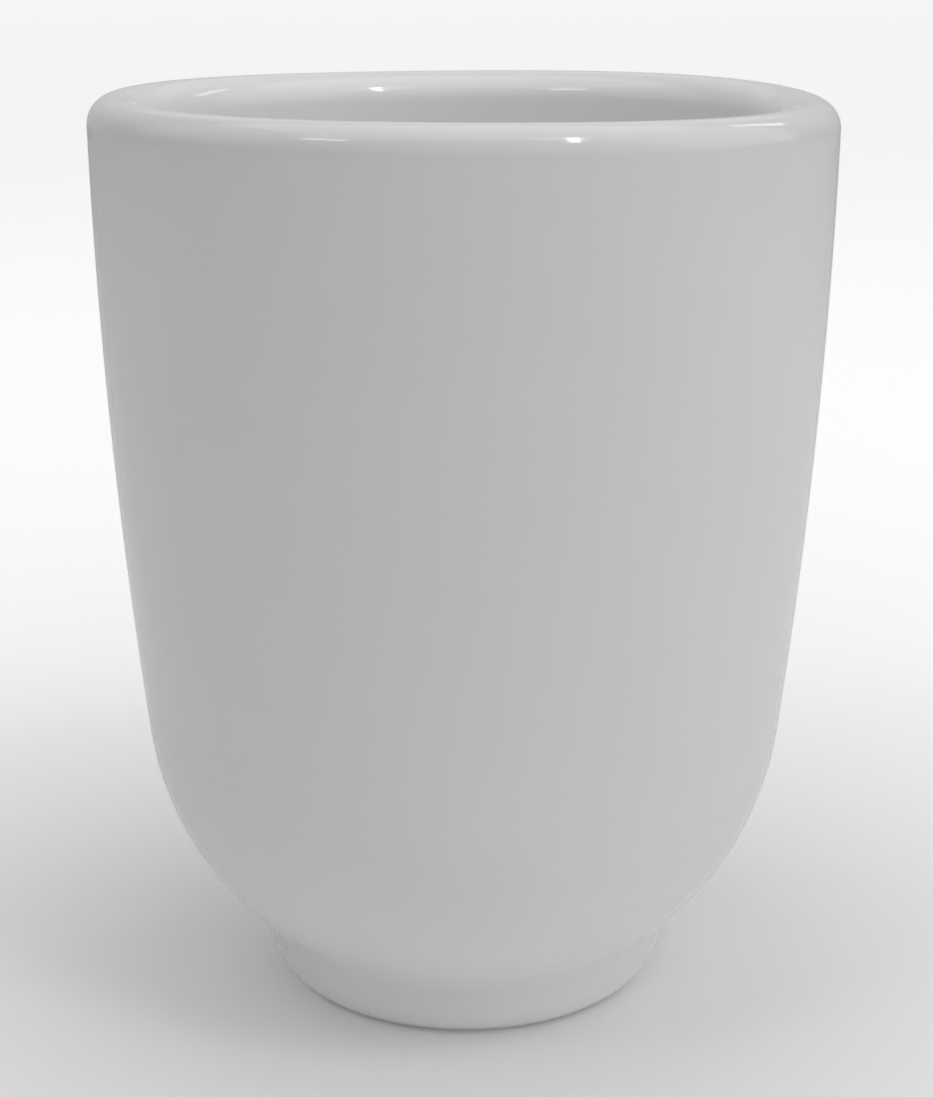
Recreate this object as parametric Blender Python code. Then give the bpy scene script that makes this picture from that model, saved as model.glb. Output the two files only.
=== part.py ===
"""Pen holder cup: a porcelain body, turned about its own axis, on a separately formed foot ring.

The frame is +Z up, with the origin on the surface that the cup stands on, at the centre of the foot.
Outlines are (radius, height) pairs in metres. A lean is the angle, in radians, by which a surface's
outward normal points below the horizontal: 0 on an upright wall, pi / 2 on a flat underside.
"""

import math

import bmesh
import bpy

# Rim, wall and bowl
RIM_RADIUS = 0.0400
HEIGHT = 0.1003
WALL_THICKNESS = 0.0067
OUTER_LIP = 0.0029
INNER_LIP = 0.0034
WALL_LEAN_TOP = 0.010
WALL_LEAN_SHOULDER = 0.115
SHOULDER_HEIGHT = 0.0303
BOWL_RADIUS = 0.0347

# Floor
FLOOR_HEIGHT = 0.0102
FLOOR_FILLET = 0.0120
UNDERSIDE_HEIGHT = 0.0047

# Foot ring
CREASE_HEIGHT = 0.0075
FOOT_LEAN = 0.136
FOOT_ROUNDING = 0.0066
FOOT_ROUNDING_END_LEAN = 1.08
RECESS_RADIUS = 0.0158
RECESS_EDGE = 0.0006
JOINT_GAP = 0.0003

# Facets
SEGMENTS = 60
LIP_STEPS = 5
WALL_STEPS = 5
BOWL_STEPS = 8
FILLET_STEPS = 3
ROUNDING_STEPS = 5
MERGE_DISTANCE = 0.000001
SHARP_ANGLE = math.radians(35)


def clear_scene():
    """Remove the objects that a new file starts with."""
    for thing in list(bpy.data.objects):
        bpy.data.objects.remove(thing, do_unlink=True)


def make_material(name, colour, roughness):
    """Return a glazed material of one colour and roughness."""
    material = bpy.data.materials.new(name)
    material.use_nodes = True
    shader = material.node_tree.nodes["Principled BSDF"]
    shader.inputs["Base Color"].default_value = (*colour, 1.0)
    shader.inputs["Roughness"].default_value = roughness
    shader.inputs["Metallic"].default_value = 0.0
    return material


def arc(centre, radius, start, end, steps):
    """Points on an arc about centre, from one lean to another."""
    leans = [start + (end - start) * step / steps for step in range(steps + 1)]
    return [(centre[0] + radius * math.cos(lean), centre[1] - radius * math.sin(lean)) for lean in leans]


def wall_arc():
    """Centre and radius of the long, nearly upright arc from the lip to the shoulder."""
    top = HEIGHT - OUTER_LIP
    radius = (top - SHOULDER_HEIGHT) / (math.sin(WALL_LEAN_SHOULDER) - math.sin(WALL_LEAN_TOP))
    centre = (RIM_RADIUS - radius * math.cos(WALL_LEAN_TOP), top + radius * math.sin(WALL_LEAN_TOP))
    return centre, radius


def bowl_centre():
    """Centre of the bowl's arc, which carries on from the wall's arc at the shoulder."""
    centre, radius = wall_arc()
    past_shoulder = radius - BOWL_RADIUS
    return (
        centre[0] + past_shoulder * math.cos(WALL_LEAN_SHOULDER),
        centre[1] - past_shoulder * math.sin(WALL_LEAN_SHOULDER),
    )


def bowl_lean_at(height):
    """The lean where the bowl's arc passes a height."""
    return math.asin((bowl_centre()[1] - height) / BOWL_RADIUS)


def inner_wall():
    """The inner wall, one wall thickness in from the outer one, from below the lip to the shoulder."""
    centre, radius = wall_arc()
    inner_radius = radius - WALL_THICKNESS
    top_lean = math.asin((centre[1] - HEIGHT + INNER_LIP) / inner_radius)
    return arc(centre, inner_radius, top_lean, WALL_LEAN_SHOULDER, WALL_STEPS)


def lip():
    """The lip: a quarter circle up from the outer wall, then a quarter ellipse down to the inner wall."""
    crest = RIM_RADIUS - OUTER_LIP
    inner_top = inner_wall()[0]
    inner_width = crest - inner_top[0]
    turns = [math.pi / 2 * step / LIP_STEPS for step in range(LIP_STEPS + 1)]
    outer = [(crest + OUTER_LIP * math.cos(t), HEIGHT - OUTER_LIP + OUTER_LIP * math.sin(t)) for t in turns]
    inner = [(crest - inner_width * math.sin(t), inner_top[1] + INNER_LIP * math.cos(t)) for t in turns]
    return outer + inner[1:]


def outside():
    """The outer surface below the lip, down to the flat underside."""
    centre, radius = wall_arc()
    wall = arc(centre, radius, WALL_LEAN_TOP, WALL_LEAN_SHOULDER, WALL_STEPS)
    bowl = arc(bowl_centre(), BOWL_RADIUS, WALL_LEAN_SHOULDER, bowl_lean_at(UNDERSIDE_HEIGHT), BOWL_STEPS)
    return wall[1:] + bowl[1:]


def inside():
    """The inner surface below the lip, one wall thickness in, down to the edge of the flat floor."""
    inner_bowl = BOWL_RADIUS - WALL_THICKNESS
    rise = bowl_centre()[1] - FLOOR_HEIGHT - FLOOR_FILLET
    fillet_lean = math.asin(rise / (inner_bowl - FLOOR_FILLET))
    bowl = arc(bowl_centre(), inner_bowl, WALL_LEAN_SHOULDER, fillet_lean, BOWL_STEPS)
    end = bowl[-1]
    fillet_centre = (
        end[0] - FLOOR_FILLET * math.cos(fillet_lean),
        end[1] + FLOOR_FILLET * math.sin(fillet_lean),
    )
    fillet = arc(fillet_centre, FLOOR_FILLET, fillet_lean, math.pi / 2, FILLET_STEPS)
    return inner_wall()[1:] + bowl[1:] + fillet[1:]


def body_outline():
    """The body's whole outline, from the middle of the underside to the middle of the inside floor."""
    return (
        [(0.0, UNDERSIDE_HEIGHT)]
        + outside()[::-1]
        + lip()
        + inside()
        + [(0.0, FLOOR_HEIGHT)]
    )


def foot_face():
    """The foot ring's outer face: a short straight taper that rounds off into the standing face."""
    start = FOOT_ROUNDING * math.sin(FOOT_ROUNDING_END_LEAN)
    taper_end = start - FOOT_ROUNDING * math.sin(FOOT_LEAN)
    crease = bowl_point(bowl_lean_at(CREASE_HEIGHT))
    taper_radius = crease[0] - (crease[1] - taper_end) * math.tan(FOOT_LEAN)
    centre = (taper_radius - FOOT_ROUNDING * math.cos(FOOT_LEAN), start)
    return arc(centre, FOOT_ROUNDING, FOOT_LEAN, FOOT_ROUNDING_END_LEAN, ROUNDING_STEPS)


def bowl_point(lean, outset=0.0):
    """A point at a lean on the bowl's arc, or on an arc that much outside it."""
    return arc(bowl_centre(), BOWL_RADIUS + outset, lean, lean, 1)[0]


def foot_seat():
    """The ring's curved seat, one joint gap below the bowl, from the flat ledge up to its thin edge."""
    ledge = UNDERSIDE_HEIGHT - JOINT_GAP
    lower = math.asin((bowl_centre()[1] - ledge) / (BOWL_RADIUS + JOINT_GAP))
    upper = bowl_lean_at(CREASE_HEIGHT)
    return arc(bowl_centre(), BOWL_RADIUS + JOINT_GAP, lower, upper, FILLET_STEPS)


def ring_outline():
    """The foot ring's closed outline: outer face, standing face, recess wall, ledge and seat."""
    ledge = UNDERSIDE_HEIGHT - JOINT_GAP
    recess = [
        (RECESS_RADIUS + RECESS_EDGE, 0.0),
        (RECESS_RADIUS, RECESS_EDGE),
        (RECESS_RADIUS, ledge),
    ]
    return foot_face() + recess + foot_seat()


def turned_solid(name, outline, closed, material):
    """Turn an outline about the Z axis into one named, closed solid."""
    mesh = bpy.data.meshes.new(name)
    build = bmesh.new()
    corners = [build.verts.new((radius, 0.0, height)) for radius, height in outline]
    pairs = list(zip(corners, corners[1:]))
    if closed:
        pairs.append((corners[-1], corners[0]))
    edges = [build.edges.new(pair) for pair in pairs]
    bmesh.ops.spin(
        build,
        geom=corners + edges,
        cent=(0.0, 0.0, 0.0),
        axis=(0.0, 0.0, 1.0),
        angle=2 * math.pi,
        steps=SEGMENTS,
    )
    bmesh.ops.remove_doubles(build, verts=build.verts, dist=MERGE_DISTANCE)
    bmesh.ops.recalc_face_normals(build, faces=build.faces)
    build.to_mesh(mesh)
    build.free()
    mesh.shade_smooth()
    mesh.set_sharp_from_angle(angle=SHARP_ANGLE)
    mesh.materials.append(material)
    solid = bpy.data.objects.new(name, mesh)
    bpy.context.scene.collection.objects.link(solid)
    return solid


def build_cup():
    """Make the cup's two pieces."""
    clear_scene()
    body_glaze = make_material("body_glaze", (0.80, 0.80, 0.81), 0.12)
    foot_glaze = make_material("foot_glaze", (0.79, 0.79, 0.80), 0.16)
    turned_solid("cup_body", body_outline(), False, body_glaze)
    turned_solid("foot_ring", ring_outline(), True, foot_glaze)


build_cup()
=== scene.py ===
"""Looks of the pen holder cup: white glazed porcelain on its foot ring, in a plain, soft studio."""

import math

import bmesh
import bpy
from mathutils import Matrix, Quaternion, Vector


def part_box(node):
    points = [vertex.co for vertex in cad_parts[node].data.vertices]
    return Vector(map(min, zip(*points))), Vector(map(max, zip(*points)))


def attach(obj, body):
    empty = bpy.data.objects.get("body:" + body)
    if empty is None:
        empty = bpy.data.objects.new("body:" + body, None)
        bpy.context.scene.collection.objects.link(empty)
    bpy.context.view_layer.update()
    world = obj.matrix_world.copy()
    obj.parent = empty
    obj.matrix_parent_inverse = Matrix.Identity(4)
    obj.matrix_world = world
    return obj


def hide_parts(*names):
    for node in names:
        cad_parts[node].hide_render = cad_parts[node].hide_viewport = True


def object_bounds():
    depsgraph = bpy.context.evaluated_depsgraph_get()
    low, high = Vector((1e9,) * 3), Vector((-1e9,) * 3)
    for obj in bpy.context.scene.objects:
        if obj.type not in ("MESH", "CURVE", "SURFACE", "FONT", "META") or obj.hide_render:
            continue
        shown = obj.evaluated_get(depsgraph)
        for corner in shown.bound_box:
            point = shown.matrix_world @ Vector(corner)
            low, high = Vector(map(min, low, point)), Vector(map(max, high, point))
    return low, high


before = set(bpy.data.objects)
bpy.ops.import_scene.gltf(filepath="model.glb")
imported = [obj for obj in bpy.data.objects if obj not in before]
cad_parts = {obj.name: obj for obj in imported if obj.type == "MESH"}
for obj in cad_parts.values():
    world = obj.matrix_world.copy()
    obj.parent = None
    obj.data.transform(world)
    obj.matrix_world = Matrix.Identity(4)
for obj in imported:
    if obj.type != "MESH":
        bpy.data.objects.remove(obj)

CAD_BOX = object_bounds()

# Shape of the porcelain, in metres. A lean is the angle, in radians, by which a surface's outward
# normal points below the horizontal. The outer sizes and heights come from the frame.
WALL_THICKNESS = 0.0067
OUTER_LIP = 0.0029
INNER_LIP = 0.0034
WALL_LEAN_TOP = 0.010
WALL_LEAN_SHOULDER = 0.115
SHOULDER_HEIGHT = 0.0303
BOWL_RADIUS = 0.0347
FLOOR_HEIGHT = 0.0102
FLOOR_FILLET = 0.0120
FOOT_LEAN = 0.136
FOOT_ROUNDING = 0.0066
FOOT_ROUNDING_END_LEAN = 1.08
CREASE_HEIGHT = 0.0075
CREASE_FILLET = 0.0035
RECESS_RADIUS = 0.0158
RECESS_EDGE = 0.0006
GLAZE_LINE = 0.00035
SEAM_DEPTH = 0.000015
SEAT_GAP = 0.00004
SEAT_INSET = 0.0015

# How firing has pulled the cup out of true. The rim tilts, bends like a saddle and waves with three crests,
# less and less further down: number of crests, height, and direction of one crest in degrees. The foot
# sits a little to one side.
RIM_WAVES = ((1, 0.00020, 221), (2, 0.00011, 54), (3, 0.00015, 39))
RIM_WAVES_START = 0.045
FOOT_SHIFT = 0.00020
FOOT_SHIFT_START = 0.024

RIM_RADIUS = CAD_BOX[1].x
HEIGHT = CAD_BOX[1].z
UNDERSIDE_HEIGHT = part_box("cup_body")[0].z

# Camera: distance in front of the axis, height, downward pitch and turn, and lens on a 36 mm long side.
# Angles are in radians and the lens is in millimetres.
CAMERA_DISTANCE = 0.2507
CAMERA_HEIGHT = 0.1203
CAMERA_PITCH = 0.2744
CAMERA_TURN = -0.0011
CAMERA_LENS = 75.76
CAMERA_SENSOR = 36.0
CAMERA_CLIP_START = 0.01

# Steps round the cup and along each stretch of the outlines
SEGMENTS = 96
SUBDIVISIONS = 1
WALL_STEPS = 30
BOWL_STEPS = 60
INNER_WALL_STEPS = 24
INNER_BOWL_STEPS = 14
FLOOR_FILLET_STEPS = 8
FLOOR_STEPS = 6
UNDERSIDE_STEPS = 8
LIP_STEPS = 14
CREASE_STEPS = 14
ROUNDING_STEPS = 20
STANDING_STEPS = 5
SEAT_STEPS = 8
WELD_DISTANCE = 0.000001

# Glaze: its tint, the darkest and lightest tone as shares of the tint, and how uneven it is. A scale
# counts the patches of noise in a metre, and a range is the part of the noise that changes the look.
GLAZE_TINT = (0.930, 0.920, 0.926)
GLAZE_DARKEST = (0.985, 0.985, 0.990)
GLAZE_LIGHTEST = (1.010, 1.008, 1.005)
GLAZE_IOR = 1.5
GLAZE_ROUGHNESS = (0.05, 0.09)
GLAZE_RANGE = (0.3, 0.7)
TONE_SCALE = 45.0
GLOSS_SCALE = 130.0
WAVE_SCALE = 90.0
WAVE_HEIGHT = 0.00006

# Bare porcelain on the standing face
BARE_DARKEST = (0.62, 0.60, 0.57)
BARE_LIGHTEST = (0.76, 0.745, 0.72)
BARE_IOR = 1.45
BARE_ROUGHNESS = (0.62, 0.85)
RUBBING_SCALE = 220.0
RUBBING_RANGE = (0.35, 0.60)
GRAIN_SCALE = 3500.0
GRAIN_STRENGTH = 0.6
GRAIN_HEIGHT = 0.00003

# Paper of the floor and backdrop
PAPER_COLOUR = (0.90, 0.90, 0.90)
PAPER_ROUGHNESS = 0.9
PAPER_SPECULAR = 0.1

# Softboxes: name, place, side length in metres, power in watts and colour. They all face SOFTBOX_TARGET.
NEUTRAL = (1.0, 1.0, 1.0)
PINKISH = (1.02, 0.975, 1.0)
BLUISH = (0.99, 0.985, 1.03)
GREENISH = (0.995, 1.01, 0.985)
SOFTBOXES = (
    ("above", (0.0, 0.0, 0.40), 0.4, 0.440, BLUISH),
    ("right", (0.45, 0.0, 0.35), 0.5, 0.467, NEUTRAL),
    ("left", (-0.45, 0.0, 0.45), 0.5, 0.382, GREENISH),
    ("front_right", (0.40, -0.40, 0.40), 0.5, 0.088, PINKISH),
    ("back", (0.0, 0.45, 0.50), 0.5, 0.164, NEUTRAL),
    ("back_left", (-0.40, 0.40, 0.50), 0.5, 0.030, GREENISH),
)
SOFTBOX_TARGET = (0.0, 0.0, 0.0)

# Small, bright lamps, which the glaze mirrors as highlights: azimuth, elevation and roll in degrees, width
# and height in metres, and power in watts. They stand LAMP_DISTANCE away from LAMP_TARGET and face it.
LAMPS = (
    ("key_lamp", 315, 53, -25, 0.080, 0.480, 1.60),
    ("key_strip", 313, 58.5, -18, 0.370, 0.070, 0.33),
    ("fill_lamp", 218, 47, 0, 0.330, 0.150, 0.80),
    ("rim_lamp", 46, 35.5, 0, 0.180, 0.330, 0.40),
)
LAMP_DISTANCE = 1.5
LAMP_TARGET = (0.0, 0.0, 0.09)

# Broad glows of the tent round the cup: azimuth and elevation in degrees, strength. The camera is at 270.
GLOWS = (
    (270, 32, 0.453),
    (315, 32, 0.041),
    (67.5, 6, 0.353),
    (112.5, 6, 0.419),
    (157.5, 6, 0.086),
    (337.5, 6, 0.461),
)
GLOW_SHARPNESS = 5.0
GLOW_MAP_RESOLUTION = 512

# Floor: a plain disc, which lights the cup, under two rings whose glow rises outwards from RING_START,
# halfway over RING_SPREAD. Only mirror images in the glaze show the sheen ring. Only the camera sees the
# backdrop ring, which ends in an upright wall. The three lie apart by the drops below the foot.
FLOOR_RADIUS = 1.2
FLOOR_GLOW = 0.072
FLOOR_DROP = 0.00003
SHEEN_GLOW = 0.18
SHEEN_DROP = 0.00002
BACKDROP_RADIUS = 6.0
BACKDROP_HEIGHT = 4.0
BACKDROP_GLOW = 0.80
BACKDROP_DROP = 0.00001
RING_START = 0.035
RING_SPREAD = 0.16
FLOOR_SEGMENTS = 128


# ---------------------------------------------------------------- outline helpers


def arc(centre, radius, start, end, steps):
    """Points on an arc about centre, from one lean to another."""
    leans = [start + (end - start) * step / steps for step in range(steps + 1)]
    return [(centre[0] + radius * math.cos(lean), centre[1] - radius * math.sin(lean)) for lean in leans]


def wall_arc():
    """Centre and radius of the long, nearly upright arc from the lip to the shoulder."""
    top = HEIGHT - OUTER_LIP
    radius = (top - SHOULDER_HEIGHT) / (math.sin(WALL_LEAN_SHOULDER) - math.sin(WALL_LEAN_TOP))
    centre = (RIM_RADIUS - radius * math.cos(WALL_LEAN_TOP), top + radius * math.sin(WALL_LEAN_TOP))
    return centre, radius


def bowl_centre():
    """Centre of the bowl's arc, which carries on from the wall's arc at the shoulder."""
    centre, radius = wall_arc()
    past_shoulder = radius - BOWL_RADIUS
    return (
        centre[0] + past_shoulder * math.cos(WALL_LEAN_SHOULDER),
        centre[1] - past_shoulder * math.sin(WALL_LEAN_SHOULDER),
    )


def bowl_lean_at(height):
    """The lean where the bowl's arc passes a height."""
    return math.asin((bowl_centre()[1] - height) / BOWL_RADIUS)


def bowl_radius_at(height):
    """The bowl's distance from the axis at a height."""
    return bowl_centre()[0] + BOWL_RADIUS * math.cos(bowl_lean_at(height))


def lip(inner_top):
    """The rounded lip, from the outer wall over the top and down to inner_top on the inner wall."""
    crest = RIM_RADIUS - OUTER_LIP
    inner_width = crest - inner_top[0]
    inner_height = HEIGHT - inner_top[1]
    turns = [math.pi / 2 * step / LIP_STEPS for step in range(1, LIP_STEPS + 1)]
    outer = [(crest + OUTER_LIP * math.cos(t), HEIGHT - OUTER_LIP + OUTER_LIP * math.sin(t)) for t in turns]
    inner = [(crest - inner_width * math.sin(t), inner_top[1] + inner_height * math.cos(t)) for t in turns]
    return outer + inner


def body_outline():
    """The body's outline, from the middle of the underside to the middle of the inside floor."""
    centre, radius = wall_arc()
    bowl = bowl_centre()
    inner_bowl = BOWL_RADIUS - WALL_THICKNESS
    reach = inner_bowl - FLOOR_FILLET
    fillet_lean = math.asin((bowl[1] - FLOOR_HEIGHT - FLOOR_FILLET) / reach)
    outer_wall = arc(centre, radius, WALL_LEAN_TOP, WALL_LEAN_SHOULDER, WALL_STEPS)
    underside_lean = bowl_lean_at(UNDERSIDE_HEIGHT)
    outer_bowl = arc(bowl, BOWL_RADIUS, WALL_LEAN_SHOULDER, underside_lean, BOWL_STEPS)
    inner_radius = radius - WALL_THICKNESS
    inner_top_lean = math.asin((centre[1] - HEIGHT + INNER_LIP) / inner_radius)
    inner_wall = arc(centre, inner_radius, inner_top_lean, WALL_LEAN_SHOULDER, INNER_WALL_STEPS)
    lower_wall = arc(bowl, inner_bowl, WALL_LEAN_SHOULDER, fillet_lean, INNER_BOWL_STEPS)
    fillet_centre = (bowl[0] + reach * math.cos(fillet_lean), bowl[1] - reach * math.sin(fillet_lean))
    floor_edge = arc(fillet_centre, FLOOR_FILLET, fillet_lean, math.pi / 2, FLOOR_FILLET_STEPS)
    floor_reach = floor_edge[-1][0]
    underside = outer_bowl[-1][0]
    return (
        [(underside * step / UNDERSIDE_STEPS, UNDERSIDE_HEIGHT) for step in range(UNDERSIDE_STEPS)]
        + (outer_wall + outer_bowl[1:])[::-1]
        + lip(inner_wall[0])
        + inner_wall[1:]
        + lower_wall[1:]
        + floor_edge[1:]
        + [(floor_reach * step / FLOOR_STEPS, FLOOR_HEIGHT) for step in reversed(range(FLOOR_STEPS))]
    )


def crease_fillet():
    """Centre of the concave crease fillet, and the bowl's lean where the fillet meets the bowl.

    The fillet's circle touches the ring's taper and dips SEAM_DEPTH into the bowl's circle, so that the
    ring's surface runs into the body's with no open joint.
    """
    bowl = bowl_centre()
    outward = (math.cos(FOOT_LEAN), -math.sin(FOOT_LEAN))
    downward = (-math.sin(FOOT_LEAN), -math.cos(FOOT_LEAN))
    crease_radius = bowl_radius_at(CREASE_HEIGHT)
    start = (crease_radius + outward[0] * CREASE_FILLET, CREASE_HEIGHT + outward[1] * CREASE_FILLET)
    offset = (start[0] - bowl[0], start[1] - bowl[1])
    along = offset[0] * downward[0] + offset[1] * downward[1]
    reach = BOWL_RADIUS + CREASE_FILLET - SEAM_DEPTH
    shift = -along + math.sqrt(along ** 2 + reach ** 2 - offset[0] ** 2 - offset[1] ** 2)
    centre = (start[0] + downward[0] * shift, start[1] + downward[1] * shift)
    return centre, math.atan2(bowl[1] - centre[1], centre[0] - bowl[0])


def foot_outline():
    """The ring's closed outline: fillet, taper, rounding, standing face, recess and seat."""
    bowl = bowl_centre()
    centre, seam_lean = crease_fillet()
    fillet = [
        (2 * centre[0] - radius, 2 * centre[1] - height)
        for radius, height in arc(centre, CREASE_FILLET, seam_lean, FOOT_LEAN, CREASE_STEPS)
    ]
    crease_radius = bowl_radius_at(CREASE_HEIGHT)
    rounding_height = FOOT_ROUNDING * math.sin(FOOT_ROUNDING_END_LEAN)
    taper_end = rounding_height - FOOT_ROUNDING * math.sin(FOOT_LEAN)
    taper_radius = crease_radius - (CREASE_HEIGHT - taper_end) * math.tan(FOOT_LEAN)
    rounding_centre = (taper_radius - FOOT_ROUNDING * math.cos(FOOT_LEAN), rounding_height)
    rounding = arc(rounding_centre, FOOT_ROUNDING, FOOT_LEAN, FOOT_ROUNDING_END_LEAN, ROUNDING_STEPS)
    ledge = UNDERSIDE_HEIGHT - SEAT_GAP
    standing_edge = rounding[-1][0]
    standing_width = standing_edge - RECESS_RADIUS - RECESS_EDGE
    standing = [
        (standing_edge - standing_width * step / STANDING_STEPS, 0.0)
        for step in range(1, STANDING_STEPS + 1)
    ]
    recess = [
        (RECESS_RADIUS + RECESS_EDGE * 0.3, RECESS_EDGE * 0.3),
        (RECESS_RADIUS, RECESS_EDGE),
        (RECESS_RADIUS, ledge * 0.5),
        (RECESS_RADIUS, ledge),
    ]
    seat_radius = BOWL_RADIUS + SEAT_GAP
    seat_start = math.asin((bowl[1] - ledge) / seat_radius)
    seat = arc(bowl, seat_radius, seat_start, seam_lean + SEAT_INSET / BOWL_RADIUS, SEAT_STEPS)
    inner_seam = BOWL_RADIUS - 4 * SEAM_DEPTH
    tuck = [(bowl[0] + inner_seam * math.cos(seam_lean), bowl[1] - inner_seam * math.sin(seam_lean))]
    return fillet + rounding + standing + recess + seat + tuck


# ---------------------------------------------------------------- meshes


def turned_object(name, outline, closed, segments):
    """Turn an outline about the Z axis into a named mesh object."""
    build = bmesh.new()
    corners = [build.verts.new((radius, 0.0, height)) for radius, height in outline]
    pairs = list(zip(corners, corners[1:]))
    if closed:
        pairs.append((corners[-1], corners[0]))
    edges = [build.edges.new(pair) for pair in pairs]
    bmesh.ops.spin(
        build,
        geom=corners + edges,
        cent=(0.0, 0.0, 0.0),
        axis=(0.0, 0.0, 1.0),
        angle=2 * math.pi,
        steps=segments,
    )
    bmesh.ops.remove_doubles(build, verts=build.verts, dist=WELD_DISTANCE)
    bmesh.ops.recalc_face_normals(build, faces=build.faces)
    mesh = bpy.data.meshes.new(name)
    build.to_mesh(mesh)
    build.free()
    turned = bpy.data.objects.new(name, mesh)
    bpy.context.scene.collection.objects.link(turned)
    return turned


def turned_piece(name, outline, closed):
    """Turn an outline into a piece of the cup, and shade it smooth."""
    piece = turned_object(name, outline, closed, SEGMENTS)
    piece.data.shade_smooth()
    smooth = piece.modifiers.new("smooth", "SUBSURF")
    smooth.levels = SUBDIVISIONS
    smooth.render_levels = SUBDIVISIONS
    return piece


def smooth_step(start, end, value):
    """0 before start, 1 after end and an S-shaped run between them."""
    share = min(1.0, max(0.0, (value - start) / (end - start)))
    return share * share * (3.0 - 2.0 * share)


def fire(piece):
    """Pull a piece slightly out of true, as firing does: lift and lower its rim, and shift its foot."""
    for vertex in piece.data.vertices:
        rim_share = max(0.0, (vertex.co.z - RIM_WAVES_START) / (HEIGHT - RIM_WAVES_START)) ** 2
        foot_share = smooth_step(FOOT_SHIFT_START, CREASE_HEIGHT, vertex.co.z)
        turn = math.atan2(vertex.co.y, vertex.co.x)
        for crests, height, direction in RIM_WAVES:
            vertex.co.z += rim_share * height * math.cos(crests * (turn - math.radians(direction)))
        vertex.co.x += foot_share * FOOT_SHIFT


# ---------------------------------------------------------------- materials


def new_material(name):
    """A new material with its nodes, links and shader."""
    material = bpy.data.materials.new(name)
    material.use_nodes = True
    nodes = material.node_tree.nodes
    return material, nodes, material.node_tree.links, nodes["Principled BSDF"]


def noise(nodes, links, scale, detail):
    """Noise over the piece, as a socket."""
    coordinates = nodes.new("ShaderNodeTexCoord")
    texture = nodes.new("ShaderNodeTexNoise")
    texture.inputs["Scale"].default_value = scale
    texture.inputs["Detail"].default_value = detail
    links.new(coordinates.outputs["Object"], texture.inputs["Vector"])
    return texture.outputs["Fac"]


def vary_tone(nodes, links, source, source_range, tones):
    """Colour the shader from one tone to another over a range of the source."""
    ramp = nodes.new("ShaderNodeValToRGB")
    for element, position, tone in zip(ramp.color_ramp.elements, source_range, tones):
        element.position = position
        element.color = (*tone, 1.0)
    links.new(source, ramp.inputs["Fac"])
    links.new(ramp.outputs["Color"], nodes["Principled BSDF"].inputs["Base Color"])


def vary_roughness(nodes, links, source, source_range, roughness):
    """Change the shader's roughness from one value to another over a range of the source."""
    spread = nodes.new("ShaderNodeMapRange")
    spread.inputs["From Min"].default_value = source_range[0]
    spread.inputs["From Max"].default_value = source_range[1]
    spread.inputs["To Min"].default_value = roughness[0]
    spread.inputs["To Max"].default_value = roughness[1]
    links.new(source, spread.inputs["Value"])
    links.new(spread.outputs["Result"], nodes["Principled BSDF"].inputs["Roughness"])


def add_bumps(nodes, links, source, strength, height):
    """Make the shaded surface uneven, as high as the source says."""
    bump = nodes.new("ShaderNodeBump")
    bump.inputs["Strength"].default_value = strength
    bump.inputs["Distance"].default_value = height
    links.new(source, bump.inputs["Height"])
    links.new(bump.outputs["Normal"], nodes["Principled BSDF"].inputs["Normal"])


def glazed_porcelain():
    """Glazed porcelain: faint tone variation, slightly uneven gloss and a wavy glaze."""
    material, nodes, links, shader = new_material("glazed_porcelain")
    shader.inputs["IOR"].default_value = GLAZE_IOR
    tones = [
        [share * channel for share, channel in zip(shares, GLAZE_TINT)]
        for shares in (GLAZE_DARKEST, GLAZE_LIGHTEST)
    ]
    vary_tone(nodes, links, noise(nodes, links, TONE_SCALE, 3.0), GLAZE_RANGE, tones)
    vary_roughness(nodes, links, noise(nodes, links, GLOSS_SCALE, 4.0), GLAZE_RANGE, GLAZE_ROUGHNESS)
    add_bumps(nodes, links, noise(nodes, links, WAVE_SCALE, 1.0), 1.0, WAVE_HEIGHT)
    return material


def bare_porcelain():
    """Fired porcelain without glaze, as on the standing face: matte, fine-grained and a little rubbed."""
    material, nodes, links, shader = new_material("bare_porcelain")
    shader.inputs["IOR"].default_value = BARE_IOR
    rubbing = noise(nodes, links, RUBBING_SCALE, 5.0)
    vary_tone(nodes, links, rubbing, RUBBING_RANGE, (BARE_DARKEST, BARE_LIGHTEST))
    vary_roughness(nodes, links, rubbing, (0.0, 1.0), BARE_ROUGHNESS)
    add_bumps(nodes, links, noise(nodes, links, GRAIN_SCALE, 2.0), GRAIN_STRENGTH, GRAIN_HEIGHT)
    return material


def bare_below(piece, height, material):
    """Give the faces of a piece whose middles lie below a height a second material."""
    piece.data.materials.append(material)
    for face in piece.data.polygons:
        if face.center.z < height:
            face.material_index = 1


def math_node(nodes, links, operation, first, second):
    """Add a math node. Each of its two inputs is a socket or a number."""
    node = nodes.new("ShaderNodeMath")
    node.operation = operation
    for socket, value in zip(node.inputs, (first, second)):
        if isinstance(value, float):
            socket.default_value = value
        else:
            links.new(value, socket)
    return node.outputs["Value"]


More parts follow.
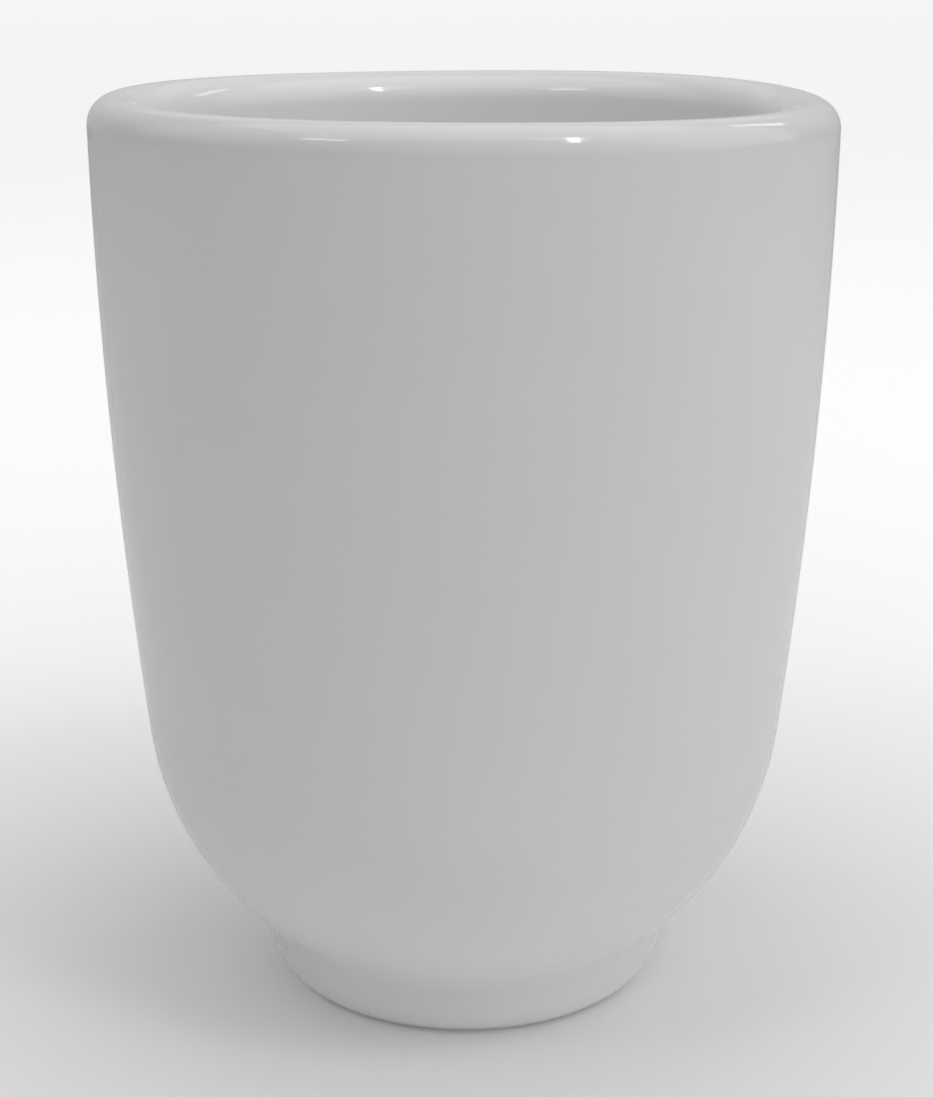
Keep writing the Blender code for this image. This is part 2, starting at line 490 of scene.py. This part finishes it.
def paper(name, far_glow):
    """Plain pale paper, whose glow rises from FLOOR_GLOW at RING_START towards far_glow."""
    material, nodes, links, shader = new_material(name)
    shader.inputs["Base Color"].default_value = (*PAPER_COLOUR, 1.0)
    shader.inputs["Roughness"].default_value = PAPER_ROUGHNESS
    shader.inputs["Specular IOR Level"].default_value = PAPER_SPECULAR
    shader.inputs["Emission Color"].default_value = (1.0, 1.0, 1.0, 1.0)
    coordinates = nodes.new("ShaderNodeTexCoord")
    distance = nodes.new("ShaderNodeVectorMath")
    distance.operation = "LENGTH"
    links.new(coordinates.outputs["Object"], distance.inputs[0])
    beyond = math_node(nodes, links, "SUBTRACT", distance.outputs["Value"], RING_START)
    beyond = math_node(nodes, links, "MAXIMUM", beyond, 0.0)
    spread = math_node(nodes, links, "ADD", beyond, RING_SPREAD)
    missing = math_node(nodes, links, "DIVIDE", (far_glow - FLOOR_GLOW) * RING_SPREAD, spread)
    glow = math_node(nodes, links, "SUBTRACT", far_glow, missing)
    links.new(glow, shader.inputs["Emission Strength"])
    return material


# ---------------------------------------------------------------- studio


def make_paper(name, outline, drop, material):
    """A part of the floor or backdrop, turned from its outline and lowered by a drop."""
    sheet = turned_object(name, outline, False, FLOOR_SEGMENTS)
    sheet.data.materials.append(material)
    sheet.location.z = -drop
    return sheet


def make_area_light(name, place, target, roll, width, height, watts, colour):
    """A rectangular light at place, facing target and rolled by an angle in degrees."""
    data = bpy.data.lights.new(name, "AREA")
    data.shape = "RECTANGLE"
    data.size = width
    data.size_y = height
    data.energy = watts
    data.color = colour
    light = bpy.data.objects.new(name, data)
    light.location = place
    light.rotation_mode = "QUATERNION"
    facing = (Vector(target) - Vector(place)).to_track_quat("-Z", "Y")
    light.rotation_quaternion = facing @ Quaternion((0.0, 0.0, 1.0), math.radians(roll))
    bpy.context.scene.collection.objects.link(light)


def towards(azimuth, elevation):
    """The unit vector towards an azimuth and an elevation in degrees."""
    turn = math.radians(azimuth)
    rise = math.radians(elevation)
    return Vector((math.cos(turn) * math.cos(rise), math.sin(turn) * math.cos(rise), math.sin(rise)))


def make_world():
    """A dark room with broad, soft glows on its walls."""
    world = bpy.data.worlds.new("studio")
    world.use_nodes = True
    nodes = world.node_tree.nodes
    links = world.node_tree.links
    background = nodes["Background"]
    direction = nodes.new("ShaderNodeTexCoord").outputs["Generated"]
    total = None
    for azimuth, elevation, strength in GLOWS:
        facing = nodes.new("ShaderNodeVectorMath")
        facing.operation = "DOT_PRODUCT"
        facing.inputs[1].default_value = towards(azimuth, elevation)
        links.new(direction, facing.inputs[0])
        front = math_node(nodes, links, "MAXIMUM", facing.outputs["Value"], 0.0)
        lobe = math_node(nodes, links, "POWER", front, GLOW_SHARPNESS)
        glow = math_node(nodes, links, "MULTIPLY", lobe, strength)
        total = glow if total is None else math_node(nodes, links, "ADD", total, glow)
    background.inputs["Color"].default_value = (1.0, 1.0, 1.0, 1.0)
    links.new(total, background.inputs["Strength"])
    world.cycles.sampling_method = "MANUAL"
    world.cycles.sample_map_resolution = GLOW_MAP_RESOLUTION
    bpy.context.scene.world = world


def make_camera():
    """The camera, in front of the cup and above its rim."""
    data = bpy.data.cameras.new("camera")
    data.sensor_width = CAMERA_SENSOR
    data.sensor_fit = "AUTO"
    data.lens = CAMERA_LENS
    data.clip_start = CAMERA_CLIP_START
    camera = bpy.data.objects.new("camera", data)
    camera.location = (0.0, -CAMERA_DISTANCE, CAMERA_HEIGHT)
    camera.rotation_euler = (math.pi / 2 - CAMERA_PITCH, 0.0, CAMERA_TURN)
    bpy.context.scene.collection.objects.link(camera)
    bpy.context.scene.camera = camera


def make_cup():
    """The body and its foot ring, in place of the two solids of the frame."""
    glaze = glazed_porcelain()
    body = turned_piece("porcelain_body", body_outline(), False)
    fire(body)
    body.data.materials.append(glaze)
    foot = turned_piece("porcelain_foot", foot_outline(), True)
    fire(foot)
    foot.data.materials.append(glaze)
    bare_below(foot, GLAZE_LINE, bare_porcelain())
    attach(body, "root")
    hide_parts("cup_body")
    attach(foot, "root")
    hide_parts("foot_ring")


def make_floor():
    """The floor disc, and over it the ring for mirror images and the ring for the camera."""
    disc = [(0.0, 0.0), (FLOOR_RADIUS, 0.0)]
    make_paper("floor", disc, FLOOR_DROP, paper("floor_paper", FLOOR_GLOW))
    ring = [(RING_START, 0.0), (FLOOR_RADIUS, 0.0)]
    sheen = make_paper("floor_sheen", ring, SHEEN_DROP, paper("sheen_paper", SHEEN_GLOW))
    sheen.visible_camera = False
    sheen.visible_diffuse = False
    sheen.visible_shadow = False
    sweep = [(RING_START, 0.0), (BACKDROP_RADIUS, 0.0), (BACKDROP_RADIUS, BACKDROP_HEIGHT)]
    backdrop = make_paper("backdrop", sweep, BACKDROP_DROP, paper("backdrop_paper", BACKDROP_GLOW))
    backdrop.visible_diffuse = False
    backdrop.visible_glossy = False
    backdrop.visible_shadow = False


def make_lights():
    """The softboxes and the lamps."""
    for name, place, size, watts, colour in SOFTBOXES:
        make_area_light(name, place, SOFTBOX_TARGET, 0.0, size, size, watts, colour)
    for name, azimuth, elevation, roll, width, height, watts in LAMPS:
        place = Vector(LAMP_TARGET) + LAMP_DISTANCE * towards(azimuth, elevation)
        make_area_light(name, place, LAMP_TARGET, roll, width, height, watts, NEUTRAL)


bpy.context.scene.view_settings.view_transform = "Standard"
make_cup()
make_floor()
make_world()
make_lights()
make_camera()
